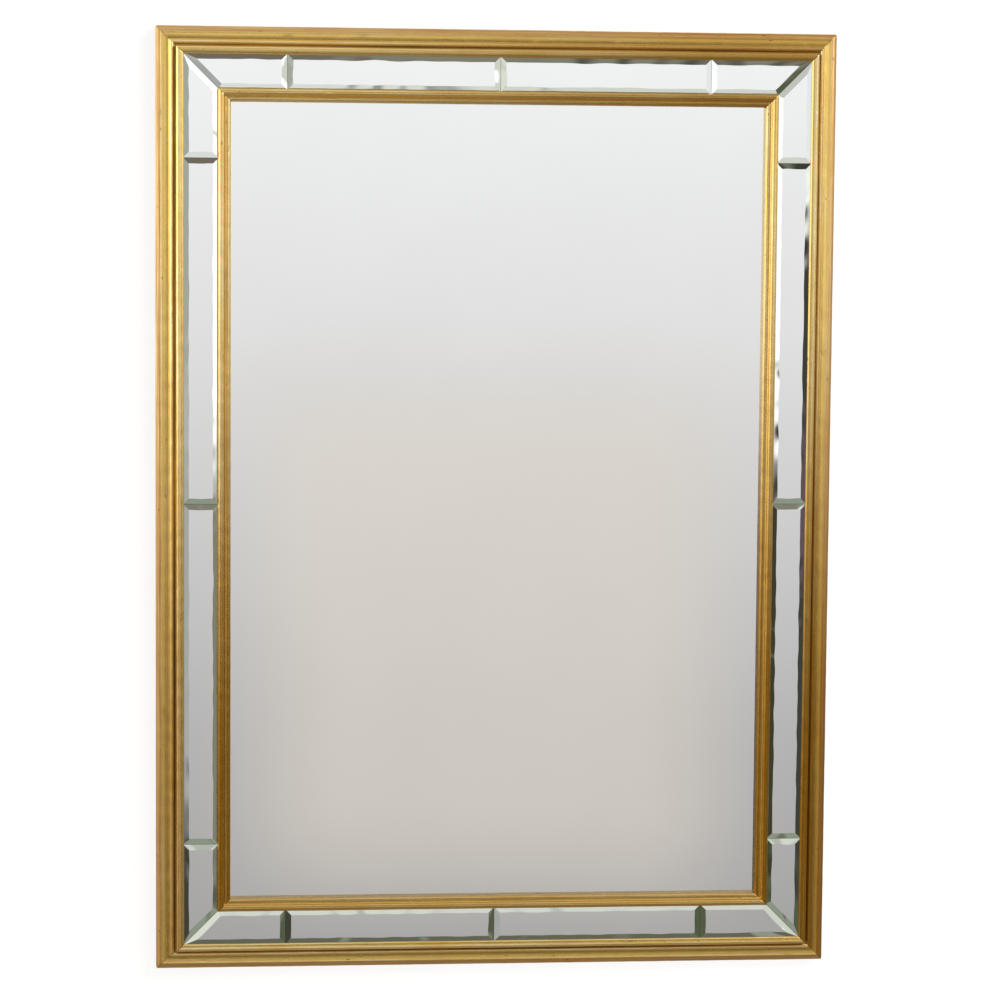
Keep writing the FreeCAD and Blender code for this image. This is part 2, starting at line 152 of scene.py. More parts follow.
class OuterMoulding(bpy.types.PropertyGroup):
    """Sizes of the outer rails' moulding, from the outer edge inwards."""

    edge_height: length("Edge height", 6.0, "Plain edge below the outer round")
    outer_round: spot("Outer round", 6.4, 6.2, "Width and rise of the outer round")
    round_swell: length("Round swell", 1.5, "How far the outer round swells")
    quirk: spot("Quirk", 0.4, 0.8, "Width and rise of the small step above it")
    scoop: spot("Scoop", 9.4, 0.6, "Width and rise of the wide hollow")
    scoop_sag: length("Scoop depth", 0.5, "Depth of the wide hollow")
    crest_shoulder: spot("Crest shoulder", 0.7, 4.8, "Shoulder of the crest")
    crest_top: spot("Crest top", 2.8, 7.0, "Top of the crest")
    crest_side: spot("Crest side", 4.8, 6.5, "Far side of the crest")
    crest_end: spot("Crest end", 6.2, 5.1, "End of the crest at the groove")
    groove_width: length("Groove width", 2.0, "Width of the narrow groove")
    groove_fall: length("Groove depth", 0.7, "Fall to the groove's floor")
    groove_floor: length("Groove floor", 1.4, "Width of the groove's floor")
    bead_wall: spot("Bead wall", 0.3, 9.4, "Top of the bead's steep side")
    bead_shoulder: spot("Bead shoulder", 1.0, 12.1, "Shoulder of the bead")
    bead_top: spot("Bead top", 3.0, 13.6, "Top of the bead")
    bead_brow: spot("Bead brow", 4.8, 13.5, "Middle of the bead's broad face")
    bead_turn: spot("Bead turn", 6.6, 13.1, "Inner end of the bead's broad face")
    bead_lip: spot("Bead lip", 8.4, 12.4, "Middle of the bead's lip")
    bead_end: length("Bead end rise", 11.5, "Rise from the groove to the sight edge")
    ledge: length("Board ledge", 6.9, "Width of the ledge that the board rests on")


class InnerMoulding(bpy.types.PropertyGroup):
    """Sizes of the inner moulding, from the strips inwards."""

    bead_width: length("Bead width", 7.8, "Width of the bead")
    bead_side: length("Bead side", 1.3, "Plain side of the bead above the strips")
    bead_top: spot("Bead top", 3.9, 6.2, "Top of the bead, its rise from the glass")
    bead_end: length("Bead end", 4.2, "Height where the bead meets the hollow")
    hollow_width: length("Hollow width", 3.4, "Width of the hollow")
    hollow_end: length("Hollow end", 2.3, "Height at the inner end of the hollow")
    hollow_sag: length("Hollow depth", 0.7, "Depth of the hollow")
    step: length("Step", 0.9, "Step up to the quarter round")
    round_width: length("Round width", 4.0, "Width of the quarter round")
    round_middle: spot("Round middle", 2.4, 2.6, "Middle of the quarter round, its rise from the glass")
    round_end: length("Round end", 0.8, "Height of the quarter round's inner edge")
    cover: length("Mirror cover", 5.2, "How far the moulding covers the centre mirror")


class StripSizes(bpy.types.PropertyGroup):
    """Sizes of the mirror strips."""

    corner_reach: length("Corner reach", 155.0, "Length of the corner strips from the frame's corner")
    clear: length("Edge room", 0.3, "Room between a strip and the wood beside it")
    joint: length("Joint", 0.4, "Gap between two strips")
    bevel: length("Bevel width", 6.6, "Mean width of the ground bevels")
    silver_depth: length("Silver depth", 3.3, "How deep the silver looks through the glass")
    wander: length("Bevel wander", 0.5, "How far the hand-ground line of a bevel wanders")
    unevenness: length("Bevel unevenness", 0.07, "How much a bevel's outer edge dips")


class GildingLook(bpy.types.PropertyGroup):
    """Colours of the gilding and the wood below it."""

    leaf: tint("Leaf", (0.91, 0.63, 0.19), "Gold leaf")
    # Laid where the leaf is burnished; its pale brightness there is also a painted highlight
    bright_leaf: tint("Bright leaf", (1.0, 0.86, 0.56), "Gold leaf where it is burnished")
    warm_leaf: tint("Warm leaf", (0.74, 0.46, 0.13), "Gold leaf where the clay shines through")
    rubbed_rim: tint("Rubbed rim", (0.72, 0.51, 0.25), "Thin leaf on the outer edge")
    bole: tint("Bole", (0.4, 0.16, 0.05), "Red clay under the leaf, where it is rubbed")
    # Also the colour of the painted shade in the grooves and where the mouldings meet the glass
    wax: tint("Wax", (0.13, 0.075, 0.025), "Dark wax in the hollows and flecks")
    # The brown tint of the painted shade that darkens each side towards its low or right end, and how far it
    # reaches
    shade_tint: tint("Patina", (0.42, 0.27, 0.05), "What age leaves of the leaf's colour")
    shade_reach: length("Patina reach", 320.0, "From a side's middle to its full browning")
    wood: tint("Wood", (0.42, 0.27, 0.14), "Wood of the rails' backs")
    corner: length("Corner", 3.6, "Radius that the outer corners are worn to")
    dents: length("Dent depth", 0.25, "Depth of the dents in the mouldings")
    unevenness: length("Unevenness", 0.12, "Slow unevenness of the mouldings")


class GlassLook(bpy.types.PropertyGroup):
    """Colours of the mirror glass."""

    silver: tint("Silver", (0.925, 0.935, 0.93), "Silvered glass")
    # Its darker, greener tone on the bevels is a painted reflection
    bevel: tint("Bevel", (0.86, 0.895, 0.865), "Silvered glass seen through a bevel")
    edge: tint("Edge", (0.36, 0.44, 0.39), "Ground edges of the glass")
    backing: tint("Backing", (0.23, 0.2, 0.17), "Paint on the back of the silver")


class StageLook(bpy.types.PropertyGroup):
    """The floor, the light and the camera."""

    floor: tint("Floor", (0.84, 0.84, 0.83), "Floor")
    floor_drop: length("Floor drop", 160.0, "How far the floor lies below the mirror")
    floor_glow: amount("Floor glow", 0.66, "Light that the camera sees in the floor")
    wall: amount("Wall", 0.28, "How much of the light the wall gives back")
    wall_glow: amount("Wall glow", 0.785, "Light that the camera sees in the wall")
    key: amount("Key light", 170.0, "Power of the key light", "POWER")
    fill: amount("Fill light", 60.0, "Power of the fill light", "POWER")
    sky: amount("Room light", 0.55, "Strength of the room's light")


GROUPS = {
    "mirror_sizes": MirrorSizes,
    "mirror_outer": OuterMoulding,
    "mirror_inner": InnerMoulding,
    "mirror_strips": StripSizes,
    "mirror_gilding": GildingLook,
    "mirror_glass": GlassLook,
    "mirror_stage": StageLook,
}


# Node trees


class Nodes:
    """Builds the nodes of a material or a world; a value is a socket to link or a plain value to set."""

    def __init__(self, owner):
        owner.use_nodes = True
        self.owner, self.tree = owner, owner.node_tree
        self.tree.nodes.clear()

    def add(self, kind, values=(), out=0, **options):
        """An output of a new shader node, by name or number as the values for its inputs are."""
        node = self.tree.nodes.new("ShaderNode" + kind)
        for key, value in options.items():
            setattr(node, key, value)
        for key, value in dict(values).items():
            socket = node.inputs[key]
            if isinstance(value, bpy.types.NodeSocket):
                self.tree.links.new(value, socket)
            else:
                socket.default_value = (*value, 1.0) if socket.type == "RGBA" else value
        return node.outputs[out] if node.outputs else None

    def math(self, operation, *values):
        return self.add("Math", enumerate(values), operation=operation)

    def times(self, first, second):
        return self.math("MULTIPLY", first, second)

    def scaled(self, value, factor, more):
        """A value times a factor, plus something more."""
        return self.math("MULTIPLY_ADD", value, factor, more)

    def smooth(self, value, low, high, from_value=0.0, to_value=1.0):
        """A smooth step from one value to another as the input goes from low to high."""
        values = {"Value": value, "From Min": low, "From Max": high, "To Min": from_value, "To Max": to_value}
        return self.add("MapRange", values, interpolation_type="SMOOTHSTEP")

    def mix(self, factor, first, second, blend="MIX"):
        """Two colours mixed; 6 and 7 are the node's colour inputs and 2 is its colour output."""
        values = {0: factor, 6: first, 7: second}
        return self.add("Mix", values, 2, data_type="RGBA", blend_type=blend)

    def stretched(self, vector, scale, shift=(0.0, 0.0, 0.0)):
        values = {"Vector": vector, "Scale": scale, "Location": shift}
        return self.add("Mapping", values)

    def noise(self, vector, scale, detail=3.0, roughness=0.55, distortion=0.0):
        """Noise, its scale given once or for each axis."""
        if isinstance(scale, tuple):
            vector, scale = self.stretched(vector, scale), 1.0
        values = {"Vector": vector, "Scale": scale, "Detail": detail, "Roughness": roughness}
        return self.add("TexNoise", {**values, "Distortion": distortion})

    def spots(self, vector, scale):
        """The distance to the nearest spot and that spot's own random value."""
        distance = self.add("TexVoronoi", {"Vector": vector, "Scale": scale}, "Distance")
        return distance, self.add("SeparateColor", {"Color": distance.node.outputs["Color"]}, "Red")

    def ramp(self, value, stops):
        """A colour ramp with its stops as (place, colour)."""
        ramp = self.add("ValToRGB", {"Fac": value})
        stop_list = ramp.node.color_ramp.elements
        for place, _ in stops[1:-1]:
            stop_list.new(place)
        for stop, (place, colour) in zip(stop_list, stops):
            stop.position = place
            stop.color = (*colour, 1.0)
        return ramp

    def bump(self, height, millimetres, strength=1.0):
        values = {"Height": height, "Distance": millimetres * MM, "Strength": strength}
        return self.add("Bump", values)

    def axis(self, vector, name):
        return self.add("SeparateXYZ", {"Vector": vector}, name)

    def attribute(self, name):
        return self.add("Attribute", out="Fac", attribute_name=name)

    def object_place(self):
        return self.add("TexCoord", out="Object")

    def rail_place(self):
        """The place on a rail's surface: along the rail and round its outline, in metres."""
        return self.add("UVMap", uv_map=MOULDING_MAP)

    def layered(self, colour, *layers):
        """A colour with others over it, each as (where, strength, colour)."""
        for where, strength, other in layers:
            colour = self.mix(self.times(where, strength), colour, other)
        return colour

    def surface(self, **values):
        """The material with a principled surface, its values by input name with spaces as underscores."""
        named = {key.replace("_", " "): value for key, value in values.items()}
        return self.finished(self.add("BsdfPrincipled", named))

    def finished(self, shader, kind="Material"):
        """The material or world, with a shader as its surface."""
        self.add("Output" + kind, {"Surface": shader})
        return self.owner


def new_material(name):
    return Nodes(bpy.data.materials.new(name))


def toned(colour, factor):
    """A colour made darker or brighter."""
    return [channel * factor for channel in colour]


def gilding(name, shift, shading):
    """Water-gilt gesso: long streaks, leaf laps, rubbed bole on arrises, dark wax with painted shade in
    hollows, a few dark flecks, burnished high spots brightened as a painted highlight, and all of it darkened
    and browned by painted shade from one amount at the side's first end to another at its last."""
    look = settings("gilding")
    n = new_material(name)
    chart = n.rail_place()
    # Painted shade along the side, from the amount at its first end to the amount at its last
    shade = n.smooth(n.axis(chart, "X"), -look.shade_reach, look.shade_reach, *shading)
    place = n.stretched(chart, (1, 1, 1), (shift, 0, 0))
    streaks = n.noise(place, (9, 520, 1), 3.0, 0.5)
    broad_streaks = n.noise(place, (5, 170, 1), 2.0, 0.5)
    clouds = n.noise(place, (16, 40, 1))
    mottle = n.noise(place, (90, 300, 1), 3.0, 0.5)
    leaf_number = n.math("FLOOR", n.scaled(mottle, 0.06, n.times(n.axis(place, "X"), 12.6)))
    leaf_tone = n.add("TexWhiteNoise", {"W": leaf_number}, "Value", noise_dimensions="1D")
    wear_and_highlight, hollow, rim = [n.attribute(name) for name in ("wear_and_highlight", "hollow", "rim")]
    spot_distance, chance = n.spots(n.stretched(place, (0.6, 1.9, 1)), 200.0)
    size = n.smooth(chance, 0.93, 1.0, 0.0, 0.36)
    flecks = n.smooth(n.math("SUBTRACT", size, spot_distance), 0.0, 0.2)
    rubbing = n.scaled(wear_and_highlight, 0.4, n.times(rim, 0.3))
    rubbed = n.smooth(n.scaled(streaks, 0.75, rubbing), 0.55, 0.85)
    # Dark wax with painted shade in the hollows and the groove band
    waxed_and_shaded = n.smooth(n.scaled(hollow, 0.66, n.times(broad_streaks, 0.5)), 0.5, 0.98)
    # Burnished high spots, brightened as a painted highlight
    polish_and_highlight = n.scaled(wear_and_highlight, 0.7, n.times(broad_streaks, 0.7))
    leaf = n.layered(
        n.mix(n.smooth(polish_and_highlight, 0.35, 0.85), look.leaf, look.bright_leaf),
        (leaf_tone, 0.18, look.leaf),
        (n.smooth(clouds, 0.42, 0.7), 0.3, look.warm_leaf),
        (n.smooth(streaks, 0.5, 0.72), 0.3, look.warm_leaf),
        (rim, 0.6, look.rubbed_rim),
        (rubbed, 0.55, look.bole),
        (waxed_and_shaded, 0.9, look.wax),
        (flecks, 0.75, look.wax),
    )
    # The painted shade is deeper on the high spots
    shade = n.times(shade, n.scaled(wear_and_highlight, 1.1, 0.72))
    covered = n.math("MAXIMUM", n.math("MAXIMUM", flecks, waxed_and_shaded), n.times(rubbed, 0.5))
    rough = n.scaled(covered, 0.2, n.scaled(mottle, 0.1, 0.2))
    relief = n.scaled(streaks, 0.6, n.times(mottle, 0.4))
    return n.surface(
        Base_Color=n.mix(1.0, leaf, n.mix(shade, WHITE, look.shade_tint), "MULTIPLY"),
        Metallic=n.scaled(covered, -0.35, 0.98),
        Roughness=n.scaled(rim, 0.12, rough),
        Normal=n.bump(n.scaled(flecks, -0.4, relief), 0.06, 0.28),
    )


def rail_wood():
    """The bare backs of the rails: close-grained wood, with ochre wash that ran over the edges."""
    look = settings("gilding")
    n = new_material("bare_rail_wood")
    place = n.rail_place()
    grain = n.noise(place, (9, 420, 1), 6.0, 0.6, 0.4)
    pores = n.noise(place, (180, 3200, 1), 2.0)
    wash = n.noise(place, (30, 110, 1), 5.0, 0.7)
    colour = n.layered(
        n.mix(n.smooth(grain, 0.3, 0.7), look.wood, (0.62, 0.44, 0.25)),
        (n.smooth(pores, 0.58, 0.74), 0.6, (0.24, 0.14, 0.07)),
        (n.smooth(wash, 0.52, 0.66), 0.65, (0.5, 0.27, 0.07)),
    )
    normal = n.bump(n.scaled(pores, -0.4, grain), 0.2, 0.6)
    return n.surface(Base_Color=colour, Roughness=n.scaled(grain, 0.2, 0.58), Normal=normal)


def silver(name):
    """Silvered glass: almost colourless, with the faint green and cloudiness of thick plate, and on the
    bevels a painted reflection, darker and greener.
    """
    look = settings("glass")
    n = new_material(name)
    place = n.object_place()
    cloud = n.noise(place, 7.0)
    dust = n.noise(place, 900.0, 2.0)
    colour = n.layered(
        n.mix(n.smooth(cloud, 0.3, 0.7), look.silver, toned(look.silver, 0.985)),
        (n.smooth(dust, 0.68, 0.8), 0.05, (0.7, 0.7, 0.68)),
        # A painted reflection on the bevels
        (n.attribute("bevelled"), 1.0, look.bevel),
    )
    return n.surface(Base_Color=colour, Metallic=1.0, Roughness=0.0)


def two_toned(n, pattern, steps, tones, relief, **values):
    """A rough surface of two tones mixed by a pattern, with the pattern's relief."""
    colour = n.mix(n.smooth(pattern, *steps), *tones)
    return n.surface(Base_Color=colour, Normal=n.bump(pattern, *relief), **values)


def glass_edge():
    """The ground edges of the glass: greenish and finely rough."""
    edge = settings("glass").edge
    n = new_material("ground_glass_edge")
    grit = n.noise(n.object_place(), 2600.0)
    return two_toned(n, grit, (0.35, 0.65), (edge, toned(edge, 0.8)), (0.05, 0.5), Roughness=0.42)


def glass_backing():
    """The paint that protects the silver, brushed on."""
    paint = settings("glass").backing
    n = new_material("mirror_backing_paint")
    strokes = n.noise(n.object_place(), (40, 40, 600), 4.0)
    return two_toned(n, strokes, (0.35, 0.7), (paint, toned(paint, 1.35)), (0.1, 0.4), Roughness=0.55)


def plywood():
    """Rotary-cut veneer: long wavy grain up the board, pores and a few small knots."""
    n = new_material("plywood_veneer")
    place = n.object_place()
    drift = n.noise(place, (5, 1, 0.9))
    spot_distance, chance = n.spots(n.stretched(place, (1, 0.05, 0.55)), 5.0)
    knot = n.times(n.smooth(spot_distance, 0.11, 0.03), n.smooth(chance, 0.62, 0.7))
    rings = n.scaled(drift, 26.0, n.times(n.axis(place, "X"), 42.0))
    rings = n.scaled(n.smooth(spot_distance, 0.3, 0.0), 2.2, rings)
    bands = n.math("PINGPONG", rings, 1.0)
    pores = n.noise(place, (2200, 60, 55))
    colour = n.layered(
        n.mix(n.smooth(bands, 0.1, 0.95), (0.52, 0.355, 0.2), (0.7, 0.52, 0.325)),
        (n.smooth(pores, 0.55, 0.75), 0.5, (0.34, 0.2, 0.1)),
        (knot, 0.85, (0.17, 0.085, 0.04)),
    )
    normal = n.bump(n.scaled(pores, -0.6, bands), 0.12, 0.5)
    return n.surface(Base_Color=colour, Roughness=n.scaled(bands, 0.12, 0.55), Normal=normal)


def steel(name, light, dark, rough):
    """Plated or plain steel: fine rolling marks and small stains."""
    n = new_material(name)
    place = n.object_place()
    marks = n.noise(place, (900, 900, 5200))
    stains = n.noise(place, 240.0, 4.0, 0.6)
    colour = n.mix(n.smooth(stains, 0.42, 0.7), light, dark)
    rough = n.scaled(marks, 0.2, rough)
    return n.surface(Base_Color=colour, Metallic=1.0, Roughness=rough, Normal=n.bump(marks, 0.03, 0.4))


def rubber():
    """Moulded black rubber, dusty in patches."""
    n = new_material("moulded_rubber")
    place = n.object_place()
    grain = n.noise(place, 2400.0)
    dust = n.noise(place, 160.0, 4.0)
    colour = n.mix(n.smooth(dust, 0.45, 0.8), (0.022, 0.021, 0.02), (0.085, 0.08, 0.072))
    return n.surface(Base_Color=colour, Roughness=0.72, Normal=n.bump(grain, 0.05, 0.5))


# Meshes


def half_length(side):
    """Half the frame's width for the top and bottom, half its height for the left and right."""
    return cad_box[1][0] if side in ("top", "bottom") else cad_box[1][2]


def placed(side, along, inward, height):
    """Points of a side in the frame: (along, inward, height) goes to (along, -(bumper + height), inward),
    down by half the frame's size across the side, then about +Y by a quarter turn for each side after the
    bottom."""
    along, inward, height = np.broadcast_arrays(along, inward, height)
    turns = SIDES.index(side)
    x, z = along, inward - half_length(SIDES[turns - 1])
    for _ in range(turns):
        x, z = z, -x
    return np.stack([x, -(settings("sizes").bumper + height), z], axis=-1)


def beyond(start, place):
    """A spot of an outline, measured from where its member starts."""
    return np.add(start, tuple(place))


def arc(first, middle, last, count):
    """Points on the circle through three points: the centre plus the first point's spoke, turned by evenly
    spaced angles. Places are complex numbers here."""
    a, b, c = (complex(*place) for place in (first, middle, last))
    ratio = (c - a) / (b - a)
    centre = a + (b - a) * (ratio - abs(ratio) ** 2) / (2j * ratio.imag)
    spoke = a - centre
    to_middle, sweep = (np.angle((place - centre) / spoke) % (2 * math.pi) for place in (b, c))
    if to_middle > sweep:
        sweep -= 2 * math.pi
    points = centre + spoke * np.exp(1j * sweep * np.linspace(0, 1, count))
    return np.stack([points.real, points.imag], axis=-1)


def bell(reach, radius):
    """A bell curve exp(-k^2 / 2 radius^2) over the steps k from -reach to reach, adding up to 1."""
    values = np.exp(-0.5 * (np.arange(-reach, reach + 1) / radius) ** 2)
    return values / values.sum()


def run_along(points):
    """How far each point of a polyline lies from its first one."""
    return np.concatenate([[0], np.cumsum(np.linalg.norm(np.diff(points, axis=0), axis=1))])


def softened(points):
    """A polyline resampled evenly and averaged with a bell curve, its two ends kept:
    p'(s) = sum of p(s + k) * bell(k)."""
    points = points[np.concatenate([[True], np.diff(run_along(points)) > 1e-9])]
    run = run_along(points)
    places = np.linspace(0, run[-1], int(round(run[-1] / OUTLINE_STEP)) + 1)
    even = np.stack([np.interp(places, run, points[:, k]) for k in (0, 1)], axis=-1)
    reach = int(math.ceil(3 * OUTLINE_SOFTNESS / OUTLINE_STEP))
    padded = np.pad(even, ((reach, reach), (0, 0)), mode="reflect", reflect_type="odd")
    weights = bell(reach, OUTLINE_SOFTNESS / OUTLINE_STEP)
    return np.stack([np.convolve(padded[:, k], weights, mode="valid") for k in (0, 1)], axis=-1)


def silver_height():
    """Height of the centre mirror's silver where it looks to lie, seen through the glass."""
    s = settings("sizes")
    return s.board_front + s.glass - settings("strips").silver_depth


def outer_profile():
    """The outer moulding's shown outline and its hidden one, as (inward, height) in metres."""
    m, s = settings("outer"), settings("sizes")
    swell = m.round_swell / math.sqrt(2)
    edge = np.array((0, m.edge_height))
    round_end = beyond(edge, m.outer_round)
    scoop_start = beyond(round_end, m.quirk)
    scoop_end = beyond(scoop_start, m.scoop)
    crest = [beyond(scoop_end, place) for place in (m.crest_shoulder, m.crest_top, m.crest_side, m.crest_end)]
    start = crest[-1] + (m.groove_width, -m.groove_fall)
    wall, shoulder, top, brow, turn, lip = (
        beyond(start, place)
        for place in (m.bead_wall, m.bead_shoulder, m.bead_top, m.bead_brow, m.bead_turn, m.bead_lip)
    )
    under = s.board_front + s.packing + s.glass - s.bevel_drop + s.lip_gap
    shown = [
        [(0, 0)],
        arc(edge, (edge + round_end) / 2 + (-swell, swell), round_end, 24),
        arc(scoop_start, (scoop_start + scoop_end) / 2 - (0, m.scoop_sag), scoop_end, 24),
        arc(scoop_end, crest[0], crest[1], 24),
        arc(crest[1], crest[2], crest[3], 16),
        [start - (m.groove_floor, 0), start],
        arc(wall, shoulder, top, 16),
        arc(top, brow, turn, 16),
        arc(turn, lip, (s.sight, start[1] + m.bead_end), 16),
        [(s.sight, under)],
    ]
    rabbet, ledge = s.sight - s.lip_cover, s.sight - m.ledge
    hidden = [(rabbet, under), (rabbet, s.board_front), (ledge, s.board_front), (ledge, 0)]
    return np.concatenate(shown), hidden


def inner_profile():
    """The inner moulding's shown outline and its hidden one, as (inward, height) in metres."""
    m, s = settings("inner"), settings("sizes")
    start, front = s.sight + s.border, s.board_front + s.packing + s.glass
    under, foot = front - s.bevel_drop + s.lip_gap, silver_height()
    bead_end = np.array((start + m.bead_width, front + m.bead_end))
    hollow_end = np.array((bead_end[0] + m.hollow_width, front + m.hollow_end))
    end = hollow_end[0] + m.round_width
    slope = math.atan2(m.bead_end - m.hollow_end, m.hollow_width)
    sag = m.hollow_sag * np.array((math.sin(slope), math.cos(slope)))
    round_start, round_middle = hollow_end + (0, m.step), beyond((hollow_end[0], front), m.round_middle)
    shown = [
        [(start, under)],
        arc((start, front + m.bead_side), beyond((start, front), m.bead_top), bead_end, 24),
        arc(bead_end, (bead_end + hollow_end) / 2 - sag, hollow_end, 12),
        arc(round_start, round_middle, (end, front + m.round_end), 16),
        [(end, foot)],
    ]
    foot_in, foot_out = end - m.cover, start + s.lip_cover
    hidden = [(foot_in, foot), (foot_in, s.board_front), (foot_out, s.board_front), (foot_out, under)]
    return np.concatenate(shown), hidden


def ripples(random, count, longest, shortest, across, s, t):
    """Slow unevenness: the mean of sine waves over (s, t), with seeded lengths, directions and phases."""
    lengths = longest * (shortest / longest) ** random.random(count)
    slants = random.uniform(-1, 1, count) / across
    phases = random.uniform(0, 2 * math.pi, count)
    waves = [np.sin(2 * math.pi * (s / a + t * b) + c) for a, b, c in zip(lengths, slants, phases)]
    return sum(waves) / math.sqrt(count)


def dents(random, count, half, run, s, t):
    """Small knocks: the highest of the bells deep * exp(-(ds / long)^2 - (dt / wide)^2), at seeded places."""
    total = np.zeros(np.broadcast(s, t).shape)
    for _ in range(count):
        least, most = (-half, 0, 2 * MM, 0.6 * MM, 0.3), (half, run, 6 * MM, 1.6 * MM, 1)
        centre_s, centre_t, long, wide, deep = random.uniform(least, most)
        knock = deep * np.exp(-(((s - centre_s) / long) ** 2) - ((t - centre_t) / wide) ** 2)
        total = np.maximum(total, knock)
    return total


def new_object(name, data):
    """A new object in the scene."""
    made = bpy.data.objects.new(name, data)
    bpy.context.scene.collection.objects.link(made)
    return made


def mesh_piece(name, points, faces, materials, slots, values=(), domain="POINT", uv=None):
    """A mesh object from points and faces, with a material number for each face, with values by name for each
    point or face, and with a UV place for each corner."""
    mesh = bpy.data.meshes.new(name)
    mesh.from_pydata(points, [], faces)
    for material in materials:
        mesh.materials.append(material)
    mesh.polygons.foreach_set("material_index", np.asarray(slots, np.int32))
    if uv is not None:
        layer = mesh.uv_layers.new(name=MOULDING_MAP)
        layer.data.foreach_set("uv", np.asarray(uv, np.float32).ravel())
    for key, numbers in dict(values).items():
        layer = mesh.attributes.new(key, "FLOAT", domain)
        layer.data.foreach_set("value", np.asarray(numbers, np.float32).ravel())
    mesh.validate()
    mesh.update()
    return new_object(name, mesh)


def grid_faces(columns, rows, closed=False):
    """The four point numbers of each cell in a grid of points, whose rows may close on themselves."""
    i, j = np.meshgrid(np.arange(columns - 1) * rows, np.arange(rows if closed else rows - 1), indexing="ij")
    k = (j + 1) % rows
    return np.stack([i + j, i + rows + j, i + rows + k, i + k], axis=-1).reshape(-1, 4)


def finished_mesh(piece, degrees):
    """Joins a piece's points that lie on each other and turns its faces outwards. They are shaded smooth, but
    sharp where two of them meet at more than an angle."""
    cage = bmesh.new()
    cage.from_mesh(piece.data)
    bmesh.ops.remove_doubles(cage, verts=cage.verts, dist=1e-7)
    bmesh.ops.recalc_face_normals(cage, faces=cage.faces)
    cage.to_mesh(piece.data)
    cage.free()
    piece.data.polygons.foreach_set("use_smooth", np.ones(len(piece.data.polygons), bool))
    piece.data.set_sharp_from_angle(angle=math.radians(degrees))
    piece.data.update()
    return piece


def worn_corner(half, along, inward, radius):
    """Along and inward after the outer corner is worn round: what lies outside the corner's circle goes to
    centre + radius * (p - centre) / |p - centre|."""
    out_along = np.maximum(radius - (half - np.abs(along)), 0)
    out_inward = np.maximum(radius - inward, 0)
    reach = np.hypot(out_along, out_inward)
    share = np.where(reach > radius, radius / np.maximum(reach, radius), 1.0)
    return along - np.sign(along) * out_along * (1 - share), inward + out_inward * (1 - share)


def weathering(shown, heading, shelter):
    """How burnished and how dark with wax an outline is at each point. The burnish, brightened as a painted
    highlight, is where it bends outwards or stands above its mean level within about 4 mm; the dark wax, with
    painted shade, is where it bends inwards or lies in the band."""
    bend = -np.gradient(np.unwrap(np.arctan2(heading[:, 1], heading[:, 0]))) / OUTLINE_STEP
    bend = np.convolve(bend, bell(4, 1.2), mode="same")
    height, reach = shown[:, 1], 24
    weights = bell(reach, 4.0 * MM / OUTLINE_STEP)
    stand = height - np.convolve(np.pad(height, reach, mode="edge"), weights, mode="valid")
    wear_and_highlight = np.maximum(np.clip(bend * BURNISH_HIGHLIGHT_BEND, 0, 1), 0.8 * np.clip(stand / BURNISH_HIGHLIGHT_STAND, 0, 1))
    # The band in the groove is dark with wax and painted shade
    first, last, wax_and_shade_strength = shelter
    inside = np.minimum(shown[:, 0] - first, last - shown[:, 0])
    sheltered = wax_and_shade_strength * np.clip(0.5 + inside / (0.8 * MM), 0, 1)
    return wear_and_highlight, np.maximum(np.clip(-bend * WAX_AND_SHADE_BEND - 0.12, 0, 0.6), sheltered)


